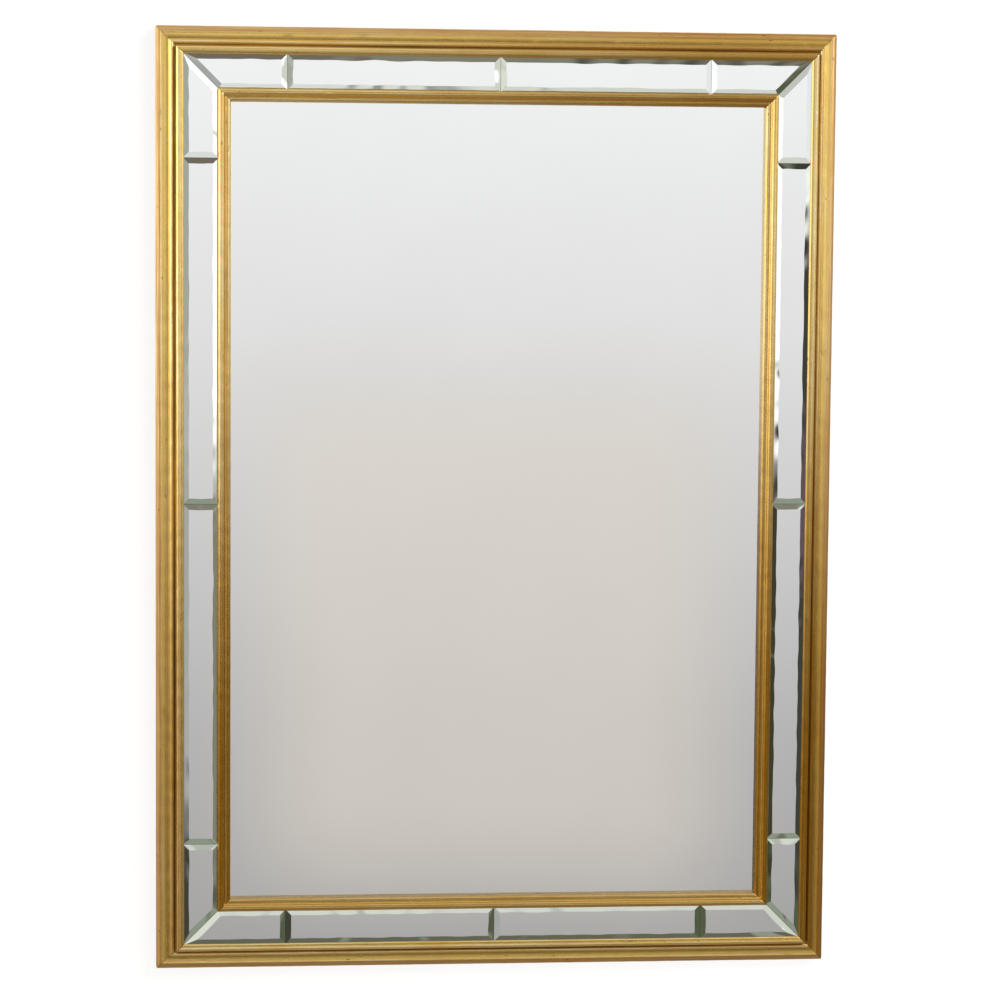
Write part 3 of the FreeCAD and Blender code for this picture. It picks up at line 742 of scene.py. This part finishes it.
def rail_piece(name, side, materials, seed, profile, dent_count, grime_and_shade_ends, shelter, rim_width=0.0):
    """A moulded rail. The outline (inward, height) is carried along the side between its two mitres:
    point(i, j) = (along_i, outline_j + normal_j * sink(i, j)), where along_i runs from -(half - inward)
    to half - inward, and sink is the unevenness, the dents and the fine groove at each mitre."""
    look = settings("gilding")
    random = np.random.default_rng(seed)
    shown, hidden = softened(profile[0]), profile[1]
    visible = len(shown)
    outline = np.concatenate([shown, hidden])
    run = run_along(np.concatenate([outline, outline[:1]]))
    heading = np.gradient(shown, axis=0)
    heading /= np.linalg.norm(heading, axis=1)[:, None]
    normal = np.zeros_like(outline)
    normal[:visible] = np.stack([-heading[:, 1], heading[:, 0]], axis=-1)
    inward = outline[:, 0]
    half = half_length(side)
    # Close to a mitre the points stand closer together
    near = np.array([0, 0.25, 0.5, 0.8, 1.2, 1.7, 2.3, 3.2])[:, None] * MM
    middle = np.linspace(-1, 1, int(2 * half / RAIL_STEP))[:, None]
    reach = half - inward
    along = np.concatenate([near - reach, middle * (reach - MITRE_ZONE), reach - near[::-1]])
    from_mitre = reach - np.abs(along)
    slow = ripples(random, *RAIL_WAVES, along, run[:-1])
    knocks = dents(random, dent_count, half, run[visible - 1], along, run[:-1])
    uneven = look.unevenness * (0.5 + 0.5 * np.clip(slow, -1, 1)) + look.dents * knocks
    mitre_line = np.exp(-((from_mitre / MITRE_GROOVE[0]) ** 2))
    sink = uneven * np.clip(from_mitre / MITRE_FADE, 0, 1) + MITRE_GROOVE[1] * mitre_line
    sink[:, visible - 1 :] = 0
    sink[:, 0] = 0
    moved = outline - normal * sink[..., None]
    # A moved point keeps its distance from the mitre, which lies at 45 degrees
    shift = (inward - moved[..., 0]) * np.sign(along) * (from_mitre < MITRE_ZONE)
    points = placed(side, *worn_corner(half, along + shift, moved[..., 0], look.corner), moved[..., 1])
    columns, rows = along.shape
    quads = grid_faces(columns, rows, closed=True)
    faces = quads.tolist() + [list(range(rows)), list(range((columns - 1) * rows, columns * rows))]
    across = quads[:, :1] % rows + (0, 0, 1, 1)
    chart = np.stack([along.ravel()[quads], run[across]], axis=-1).reshape(-1, 2)
    slots = np.concatenate([np.where(across[:, 0] < visible - 1, 0, 1), [1, 1]])
    wear_and_highlight, hollow, grime_and_shade = np.zeros((3, len(outline)))
    wear_and_highlight[:visible], hollow[:visible] = weathering(shown, heading, shelter)
    # Dirt and painted shade at the outline's ends, where the moulding meets the glass
    for amount_there, distance in zip(grime_and_shade_ends, (run[:visible], run[visible - 1] - run[:visible])):
        grime_and_shade[:visible] += amount_there * np.exp(-distance / GRIME_AND_SHADE_REACH)
    # The burnish with its painted highlight; the dark of the hollows, wax and painted shade with dark mitre
    # joints, dents and the ends' dirt and painted shade; the rubbed rim
    tones = {
        "wear_and_highlight": wear_and_highlight * (0.7 + 0.3 * knocks),
        "hollow": np.maximum.reduce([hollow + 0 * along, 0.9 * mitre_line, 0.75 * knocks, grime_and_shade + 0 * along]),
        "rim": np.broadcast_to((inward < rim_width) * 1.0, along.shape),
    }
    uv = np.concatenate([chart, outline, outline])
    return finished_mesh(mesh_piece(name, points.reshape(-1, 3), faces, materials, slots, tones, uv=uv), 50)


def inset(corners, distance):
    """The corners of a convex outline after its sides move in by a distance."""
    before, after = np.roll(corners, 1, axis=0), np.roll(corners, -1, axis=0)
    first, second = corners - before, after - corners
    first /= np.linalg.norm(first, axis=1)[:, None]
    second /= np.linalg.norm(second, axis=1)[:, None]
    across = first[:, 0] * second[:, 1] - first[:, 1] * second[:, 0]
    return corners + (second - first) * (distance / across)[:, None]


def strip_piece(name, side, first, last, mitres, materials, seed):
    """A bevelled mirror strip. Each bevel is a sheet between the strip's edge and the flat's wandering line,
    point(a, b) = edge(a) * (1 - b) + line(a) * b, rising as b. The flat is its four lines' Coons sheet."""
    z, s = settings("strips"), settings("sizes")
    random = np.random.default_rng(seed)
    mitred_reach = half_length(side) - z.joint / math.sqrt(2)

    def corner(end, inward):
        place, sign = ((first, -1), (last, 1))[end]
        return sign * (mitred_reach - inward) if mitres[end] else place - sign * z.joint / 2, inward

    near, far = s.sight - s.lip_cover + z.clear, s.sight + s.border + s.lip_cover - z.clear
    corners = np.array([corner(0, near), corner(1, near), corner(1, far), corner(0, far)])
    inner = inset(corners, z.bevel)
    back = s.board_front + s.packing
    front = back + s.glass
    counts = (max(int((last - first) / STRIP_STEP), 24), 20) * 2
    # The sheets: their places, their heights, their material and whether they are bevels
    edges, lines, sheets = [], [], []
    b = np.linspace(0, 1, 5)
    for k, count in enumerate(counts):
        share = np.linspace(0, 1, count + 1)[:, None]
        start, stop = inner[k], inner[(k + 1) % 4]
        run = np.linalg.norm(stop - start)
        across = np.array((start[1] - stop[1], stop[0] - start[0])) / run
        swing = np.sin(math.pi * share)
        wave = ripples(random, *BEVEL_WAVES, share * run, 0) * z.wander * swing**0.5
        edge = corners[k] + (corners[(k + 1) % 4] - corners[k]) * share
        line = start + (stop - start) * share + across * wave
        dip = 0.5 + 0.5 * np.clip(ripples(random, *EDGE_WAVES, share * run, 0), -1, 1)
        low = front - s.bevel_drop - z.unevenness * dip * swing
        bevel = edge[:, None] * (1 - b)[:, None] + line[:, None] * b[:, None]
        sheets.append((bevel, low * (1 - b) + front * b, 0, 1.0))
        wall = np.repeat(edge[:, None], 2, axis=1)
        sheets.append((wall, np.hstack([np.full_like(low, back), low]), 1, 0.0))
        edges.append(edge)
        lines.append(line)
    u, v = (np.linspace(0, 1, count + 1)[..., None] for count in counts[:2])
    u = u[:, None]
    flat = (1 - v) * lines[0][:, None] + v * lines[2][::-1][:, None] + (1 - u) * lines[3][::-1] + u * lines[1]
    flat -= (1 - v) * ((1 - u) * inner[0] + u * inner[1]) + v * (u * inner[2] + (1 - u) * inner[3])
    sheets.insert(0, (flat, np.full(flat.shape[:2], front), 0, 0.0))
    points, faces, slots, bevelled = [], [], [], []
    count = 0
    for sheet, height, slot, is_bevel in sheets:
        columns, rows = sheet.shape[:2]
        points.append(placed(side, sheet[..., 0], sheet[..., 1], height).reshape(-1, 3))
        quads = count + grid_faces(columns, rows)
        faces += quads.tolist()
        slots += [slot] * len(quads)
        bevelled += [is_bevel] * len(quads)
        count += columns * rows
    rim = np.concatenate([edge[:-1] for edge in edges])
    points.append(placed(side, rim[:, 0], rim[:, 1], back))
    faces.append(list(range(count, count + len(rim))))
    tones = {"bevelled": bevelled + [0.0]}
    piece = mesh_piece(name, np.concatenate(points), faces, materials, slots + [2], tones, "FACE")
    return finished_mesh(piece, 5)


def stand_in(piece, body, slot, *nodes):
    """Puts a finished piece on its body and in its CAD nodes' place."""
    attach(piece, body)
    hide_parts(*nodes)


def make_rails(kind, shift, shading, seed, **shape):
    """The four mitred rails of a moulding, each with its own stretch of gilding."""
    wood = rail_wood()
    for number, side in enumerate(SIDES):
        name = f"{kind}_rail_{side}"
        materials = [gilding(f"{kind}_gilding_{side}", shift + 3.1 * number, shading[side]), wood]
        piece = rail_piece("gilt_" + name, side, materials, seed + number, **shape)
        stand_in(piece, "frame", kind + "_gilding", name)


def dress(material, *names):
    """Gives CAD nodes a material."""
    for name in names:
        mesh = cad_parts[name].data
        mesh.materials.clear()
        mesh.materials.append(material)


def nodes_with(start):
    """The names of the CAD nodes that start with some words, in order."""
    found = sorted(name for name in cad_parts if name.startswith(start))
    if not found:
        raise RuntimeError(f"the frame has no node that starts with {start}")
    return found


# Operators


class MIRROR_OT_outer_frame(bpy.types.Operator):
    """Makes the four gilt outer rails."""

    bl_idname = "gilt_mirror.outer_frame"
    bl_label = "Outer frame"

    def execute(self, context):
        shape = {"profile": outer_profile(), "dent_count": 30, "grime_and_shade_ends": (0.0, 1.0)}
        make_rails("outer", 0.0, SHADE_ENDS, seed=40, shelter=OUTER_WAX_SHADE_BAND, rim_width=6.6 * MM, **shape)
        return {"FINISHED"}


class MIRROR_OT_inner_moulding(bpy.types.Operator):
    """Makes the four gilt rails of the inner moulding."""

    bl_idname = "gilt_mirror.inner_moulding"
    bl_label = "Inner moulding"

    def execute(self, context):
        shape = {"profile": inner_profile(), "dent_count": 12, "grime_and_shade_ends": (0.8, 0.6)}
        make_rails("inner", 7.7, INNER_SHADE_ENDS, seed=60, shelter=INNER_WAX_SHADE_BAND, **shape)
        return {"FINISHED"}


class MIRROR_OT_border(bpy.types.Operator):
    """Makes the sixteen bevelled mirror strips."""

    bl_idname = "gilt_mirror.border"
    bl_label = "Border strips"

    def execute(self, context):
        materials = [silver("bevelled_silver"), glass_edge(), glass_backing()]
        reach = settings("strips").corner_reach
        for number, side in enumerate(SIDES):
            half = half_length(side)
            joints = [-half, reach - half, 0, half - reach, half]
            first, last = HALVES[side]
            for k, end in enumerate((first + "_corner", first, last, last + "_corner")):
                name, seed = f"strip_{side}_{end}", 80 + 4 * number + k
                shape = (side, joints[k], joints[k + 1], (k == 0, k == 3))
                piece = strip_piece("bevelled_" + name, *shape, materials, seed)
                stand_in(piece, "frame", "strip_mirror", name)
        return {"FINISHED"}


class MIRROR_OT_centre(bpy.types.Operator):
    """Silvers the centre mirror."""

    bl_idname = "gilt_mirror.centre"
    bl_label = "Centre mirror"

    def execute(self, context):
        sizes, inner = settings("sizes"), settings("inner")
        moulding = inner.bead_width + inner.hollow_width + inner.round_width
        edge_in = sizes.sight + sizes.border + moulding - inner.cover + settings("strips").clear
        levels = (sizes.board_front, silver_height())
        rings = [placed(k, edge_in - half_length(k), edge_in, level) for level in levels for k in SIDES]
        faces = [(0, 1, 2, 3), (7, 6, 5, 4)] + [(k, (k + 1) % 4, 4 + (k + 1) % 4, 4 + k) for k in range(4)]
        materials = [silver("plain_silver"), glass_edge(), glass_backing()]
        piece = mesh_piece("silvered_centre_mirror", rings, faces, materials, [2, 0, 1, 1, 1, 1])
        finished_mesh(piece, 5)
        stand_in(piece, "frame", "centre_mirror", "centre_mirror")
        return {"FINISHED"}


class MIRROR_OT_backing(bpy.types.Operator):
    """Finishes the backing board and the fasteners that hold it."""

    bl_idname = "gilt_mirror.backing"
    bl_label = "Backing and fasteners"

    def execute(self, context):
        dress(plywood(), "backing_board", *nodes_with("packing"))
        plain = steel("plain_steel_surface", (0.5, 0.49, 0.47), (0.3, 0.26, 0.22), 0.32)
        dress(plain, "retaining_points", "inner_rail_screws", "outer_v_nails", "inner_v_nails")
        return {"FINISHED"}


class MIRROR_OT_hangers(bpy.types.Operator):
    """Finishes the strap hangers, their rings and screws."""

    bl_idname = "gilt_mirror.hangers"
    bl_label = "Hangers"

    def execute(self, context):
        zinc = steel("zinc_plated_steel", (0.72, 0.71, 0.67), (0.5, 0.49, 0.45), 0.22)
        dress(zinc, "hanger_screws", *nodes_with("left_hanger"), *nodes_with("right_hanger"))
        return {"FINISHED"}


class MIRROR_OT_bumpers(bpy.types.Operator):
    """Finishes the rubber bumpers."""

    bl_idname = "gilt_mirror.bumpers"
    bl_label = "Wall bumpers"

    def execute(self, context):
        dress(rubber(), "wall_bumpers")
        return {"FINISHED"}


# The studio that only glossy surfaces see: its colours by elevation in degrees, from below to above
STUDIO_GRADIENT = (
    (-90, (0.3, 0.29, 0.26)),
    (-14.5, (0.36, 0.352, 0.348)),
    (-9, (0.5, 0.49, 0.495)),
    (-2, (0.81, 0.8, 0.805)),
    (3, (0.96, 0.96, 0.965)),
    (60, WHITE),
    (90, WHITE),
)
# The cards in front of it, a later one over an earlier: azimuth from and to, elevation from and to, softness,
# colour, and strength if below 1. Azimuth 0 is straight out from the mirror and grows to its viewer's right.
STUDIO_CARDS = (
    # The room behind the viewer: ceiling, floor, and a window on each side
    (-200, 200, 46, 100, 10, (0.8, 0.77, 0.7)),
    (-200, 200, -100, -44, 6, (0.4, 0.33, 0.25)),
    (-200, -34, -40, -4.5, 3, (0.4, 0.36, 0.3)),
    (-200, -66, -24, -4.5, 3, (0.56, 0.48, 0.38)),
    (30, 200, -60, -3, 3, (0.36, 0.34, 0.31)),
    (-165, -38, -4, 46, 5, (2.2, 2.14, 2.0)),
    (62, 200, -2, 46, 4, (0.58, 0.52, 0.42)),
    (30, 50, -3, 46, 4, (1.5, 1.45, 1.3)),
    # What the bevels above and below the plain glass reflect
    (-34, 40, 5.2, 9.2, 0.8, (0.74, 0.75, 0.68)),
    (-34, 40, 9.5, 14, 1.5, (0.4, 0.41, 0.33), 0.8),
    (-34, 40, 14, 40, 2, (0.24, 0.23, 0.18)),
    (7, 16, 19, 23, 1.5, (0.05, 0.05, 0.035)),
    (12, 18, 14, 19.5, 1.2, (1.3, 1.3, 1.3)),
    (-7, -1.5, 15, 20, 1.2, (0.7, 0.7, 0.66), 0.8),
    (-34, 34, -44, -24, 2, (0.14, 0.14, 0.1)),
    (-5.5, 17, -32.4, -23, 0.6, (0.3, 0.33, 0.26)),
    (-12, 34, -19, -15.5, 1.2, (0.8, 0.78, 0.7)),
    (6, 34, -21.5, -15.5, 1.2, (0.72, 0.72, 0.66)),
    (-4, 3, -22.5, -17.5, 0.8, (0.8, 0.8, 0.79)),
    (-3, 3, 20.4, 27, 0.8, (0.19, 0.155, 0.125)),
    # What the bevels at the left and right of the plain glass reflect
    (-34, -18, -3.5, 9.5, 1.5, (0.42, 0.43, 0.37)),
    (-34, -18, -9.5, -3.5, 1.5, (0.44, 0.43, 0.4)),
    (-34, -18, -27, -10.5, 1.2, (0.06, 0.055, 0.04)),
    (-18, -13, -12, 9, 1.2, (0.5, 0.5, 0.47)),
    (-17, -13, -1, 9, 1.2, (0.8, 0.81, 0.72)),
    (-13.6, -3.8, -14, -4.2, 0.9, (0.055, 0.05, 0.025)),
    (-13, -7, -16, -11.6, 0.6, (0.1, 0.115, 0.06)),
    (-13, -5, -3.6, 6, 0.9, (1.2, 1.2, 1.22)),
    (16, 28, -4.0, 7, 0.9, (1.5, 1.5, 1.48)),
    (22.85, 28, -1.2, 3.0, 0.4, (0.7, 0.71, 0.63)),
    (16, 28, -12.2, -4.8, 0.9, (0.24, 0.23, 0.165)),
    (28.5, 38, 0.5, 9, 0.8, (0.9, 0.9, 0.92)),
    (28.5, 40, -24, 0.0, 0.8, (0.055, 0.055, 0.045)),
    (17.5, 36, -15.2, -11.8, 0.7, (0.1, 0.115, 0.07)),
    (28.5, 40, -6.3, -3.6, 0.6, (0.13, 0.09, 0.1)),
    # A warm glow low in the middle
    (1.2, 9.4, -11.85, -3, 1.6, (0.78, 0.712, 0.628), 0.6),
)


class MIRROR_OT_stage(bpy.types.Operator):
    """Makes the floor, the lamps, the room's light and the camera."""

    bl_idname = "gilt_mirror.stage"
    bl_label = "Stage"

    def execute(self, context):
        look = settings("stage")
        self.make_floor(look)
        self.make_wall(look)
        self.make_lamp("key_light", (3.4, -2.6, 2.7), 2.4, look.key)
        self.make_lamp("back_fill_light", (1.6, 3.2, 2.2), 2.4, look.fill)
        self.make_room(context, look)
        self.make_camera(context)
        context.scene.view_settings.view_transform = "Standard"
        return {"FINISHED"}

    def glowing(self, n, colour, glow):
        """A matt surface that also gives out white light."""
        lit = n.add("BsdfDiffuse", {"Color": colour})
        light = n.add("Emission", {"Color": WHITE, "Strength": glow})
        return n.add("AddShader", {0: lit, 1: light})

    def make_floor(self, look):
        """A large flat floor below the mirror, unseen by mirrors, white to the camera but for its shadows."""
        level, wide = cad_box[0][2] - look.floor_drop, 6.0
        points = [(-wide, -wide, level), (wide, -wide, level), (wide, wide, level), (-wide, wide, level)]
        n = new_material("pale_floor")
        grain = n.noise(n.object_place(), 3.0)
        colour = n.mix(n.smooth(grain, 0.3, 0.7), look.floor, toned(look.floor, 0.98))
        seen = n.times(n.add("LightPath", out="Is Camera Ray"), look.floor_glow)
        material = n.finished(self.glowing(n, colour, seen))
        floor = mesh_piece("studio_floor", points, [(0, 1, 2, 3)], [material], [0])
        floor.visible_glossy = False

    def make_wall(self, look):
        """The wall, for the camera alone: white but for the mirror's soft shadow, and clear from behind."""
        low, wide = cad_box[0][2] - look.floor_drop, 3.0
        points = [(-wide, 0, low), (wide, 0, low), (wide, 0, 2 * wide), (-wide, 0, 2 * wide)]
        n = new_material("white_wall")
        front = self.glowing(n, (look.wall, look.wall, look.wall * 0.98), look.wall_glow)
        behind = n.add("NewGeometry", out="Backfacing")
        clear = n.add("BsdfTransparent")
        one_sided = n.add("MixShader", {0: behind, 1: front, 2: clear})
        wall = mesh_piece("studio_wall", points, [(0, 1, 2, 3)], [n.finished(one_sided)], [0])
        for ray in ("glossy", "diffuse", "transmission", "shadow"):
            setattr(wall, "visible_" + ray, False)

    def make_lamp(self, name, place, size, power):
        """A large soft square lamp that faces the mirror's middle."""
        lamp = bpy.data.lights.new(name, "AREA")
        lamp.size = size
        lamp.energy = power
        body = new_object(name, lamp)
        body.location = place
        body.rotation_euler = (-Vector(place)).to_track_quat("-Z", "Y").to_euler()

    def make_room(self, context, look):
        """White to the camera, even light to plain surfaces, and a studio with a few cards to glossy ones."""
        n = Nodes(bpy.data.worlds.new("studio_room"))
        view = n.add("TexCoord", out="Generated")
        x, y, z = (n.axis(view, name) for name in "XYZ")
        rise = n.math("DEGREES", n.math("ARCSINE", z))
        swing = n.math("DEGREES", n.math("ARCTAN2", x, n.times(y, -1.0)))
        share = n.math("DIVIDE", n.math("ADD", rise, 90.0), 180.0)
        studio = n.ramp(share, [((place + 90) / 180, colour) for place, colour in STUDIO_GRADIENT])
        for left, right, low, high, soft, colour, *strength in STUDIO_CARDS:
            mask = n.smooth(rise, high + soft, high - soft, 0.0, *strength)
            for angle, edge, inward in ((rise, low, soft), (swing, left, soft), (swing, right, -soft)):
                mask = n.times(mask, n.smooth(angle, edge - inward, edge + inward))
            studio = n.mix(mask, studio, colour)
        camera, glossy, passing = (
            n.add("LightPath", out=f"Is {ray} Ray") for ray in ("Camera", "Glossy", "Transmission")
        )
        even, seen, white = (
            n.add("Background", {"Color": colour, "Strength": strength})
            for colour, strength in (((1.0, 0.99, 0.97), look.sky), (studio, 1.0), (WHITE, 1.0))
        )
        lit = n.add("MixShader", {0: n.math("MAXIMUM", glossy, passing), 1: even, 2: seen})
        both = n.add("MixShader", {0: camera, 1: lit, 2: white})
        context.scene.world = n.finished(both, "World")

    def make_camera(self, context):
        """The camera where the photographer stood, 3.8 m away, to the left of the mirror's middle and above
        it. Its focal length is given in pixels of the photograph, and so is the photograph's width."""
        focal_length, photo_width = 3218.4, 994
        lens = bpy.data.cameras.new("photo_camera")
        lens.sensor_fit = "HORIZONTAL"
        lens.sensor_width = 36.0
        lens.lens = lens.sensor_width * focal_length / photo_width
        lens.clip_end = 100.0
        camera = new_object("photo_camera", lens)
        right = Vector((0.995576, -0.093620, 0.007943))
        up = Vector((0.000182, 0.086458, 0.996255))
        back = Vector((-0.093956, -0.991847, 0.086093))
        turn = Matrix((right, up, back)).transposed().to_4x4()
        camera.matrix_world = Matrix.Translation((-0.3617, -3.8482, 0.3389)) @ turn
        context.scene.camera = camera


OPERATORS = (
    MIRROR_OT_outer_frame,
    MIRROR_OT_inner_moulding,
    MIRROR_OT_border,
    MIRROR_OT_centre,
    MIRROR_OT_backing,
    MIRROR_OT_hangers,
    MIRROR_OT_bumpers,
    MIRROR_OT_stage,
)


class MIRROR_PT_panel(bpy.types.Panel):
    """Lists the mirror's sizes, colours and pieces."""

    bl_label = "Bevelled border mirror"
    bl_idname = "MIRROR_PT_panel"
    bl_space_type = "VIEW_3D"
    bl_region_type = "UI"
    bl_category = "Mirror"

    def draw(self, context):
        for key, group in GROUPS.items():
            box = self.layout.box()
            box.label(text=group.__doc__)
            for name in group.__annotations__:
                box.prop(getattr(context.scene, key), name)
        for operator in OPERATORS:
            self.layout.operator(operator.bl_idname)


CLASSES = (*GROUPS.values(), *OPERATORS, MIRROR_PT_panel)


def register():
    for kind in CLASSES:
        bpy.utils.register_class(kind)
    for key, group in GROUPS.items():
        setattr(bpy.types.Scene, key, PointerProperty(type=group))


def unregister():
    for key in GROUPS:
        delattr(bpy.types.Scene, key)
    for kind in reversed(CLASSES):
        bpy.utils.unregister_class(kind)


def main():
    """Registers the classes and makes every piece and the stage."""
    register()
    bpy.ops.gilt_mirror.outer_frame()
    bpy.ops.gilt_mirror.inner_moulding()
    bpy.ops.gilt_mirror.border()
    bpy.ops.gilt_mirror.centre()
    bpy.ops.gilt_mirror.backing()
    bpy.ops.gilt_mirror.hangers()
    bpy.ops.gilt_mirror.bumpers()
    bpy.ops.gilt_mirror.stage()


if __name__ == "__main__":
    main()
